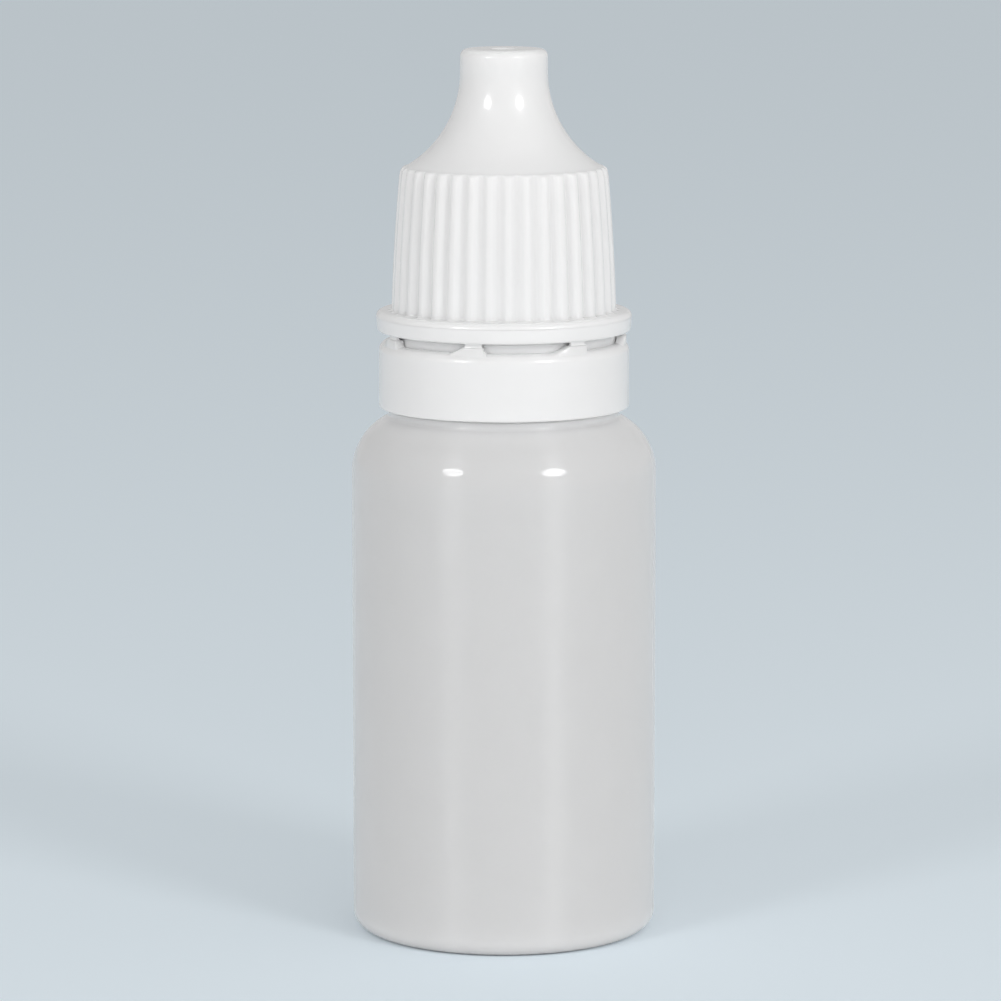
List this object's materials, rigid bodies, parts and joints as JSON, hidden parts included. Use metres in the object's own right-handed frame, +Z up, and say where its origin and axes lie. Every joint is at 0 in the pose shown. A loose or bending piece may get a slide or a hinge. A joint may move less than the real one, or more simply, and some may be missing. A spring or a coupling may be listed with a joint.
{
  "type": "eye drop bottle",
  "caption": "Soft round dropper bottle with a press-in nozzle plug, a ribbed screw cap with a flared spire, and a ratchet-toothed tamper ring.",
  "frame": {"origin": "centre of the ring that the base stands on", "axes": "+Z up the axis of the bottle, -Y towards the front of the picture's view"},
  "size_m": [0.022, 0.022, 0.0641],
  "materials": {
    "bottle_plastic": "translucent natural polyethylene, smooth and slightly waxy",
    "plug_plastic": "natural polyethylene, smooth",
    "cap_plastic": "opaque white moulded plastic, glossy"
  },
  "bodies": {
    "bottle": {"bottle": "bottle_plastic", "dropper_plug": "plug_plastic"},
    "tamper_ring": {"tamper_ring": "cap_plastic", "tamper_bridges": "cap_plastic"},
    "cap": {"cap": "cap_plastic"}
  },
  "joints": [
    {"name": "cap_turn", "type": "hinge", "parent": "bottle", "child": "tamper_ring", "pos_m": [0, 0, 0.0407], "axis": [0, 0, 1], "range_deg": [0, 2340]},
    {"name": "cap_rise", "type": "slide", "parent": "tamper_ring", "child": "cap", "axis": [0, 0, 1], "range_m": [0, 0.0195]}
  ],
  "couplings": [
    {"joint": "cap_rise", "follows": "cap_turn", "m_per_rad": 0.00047746}
  ]
}
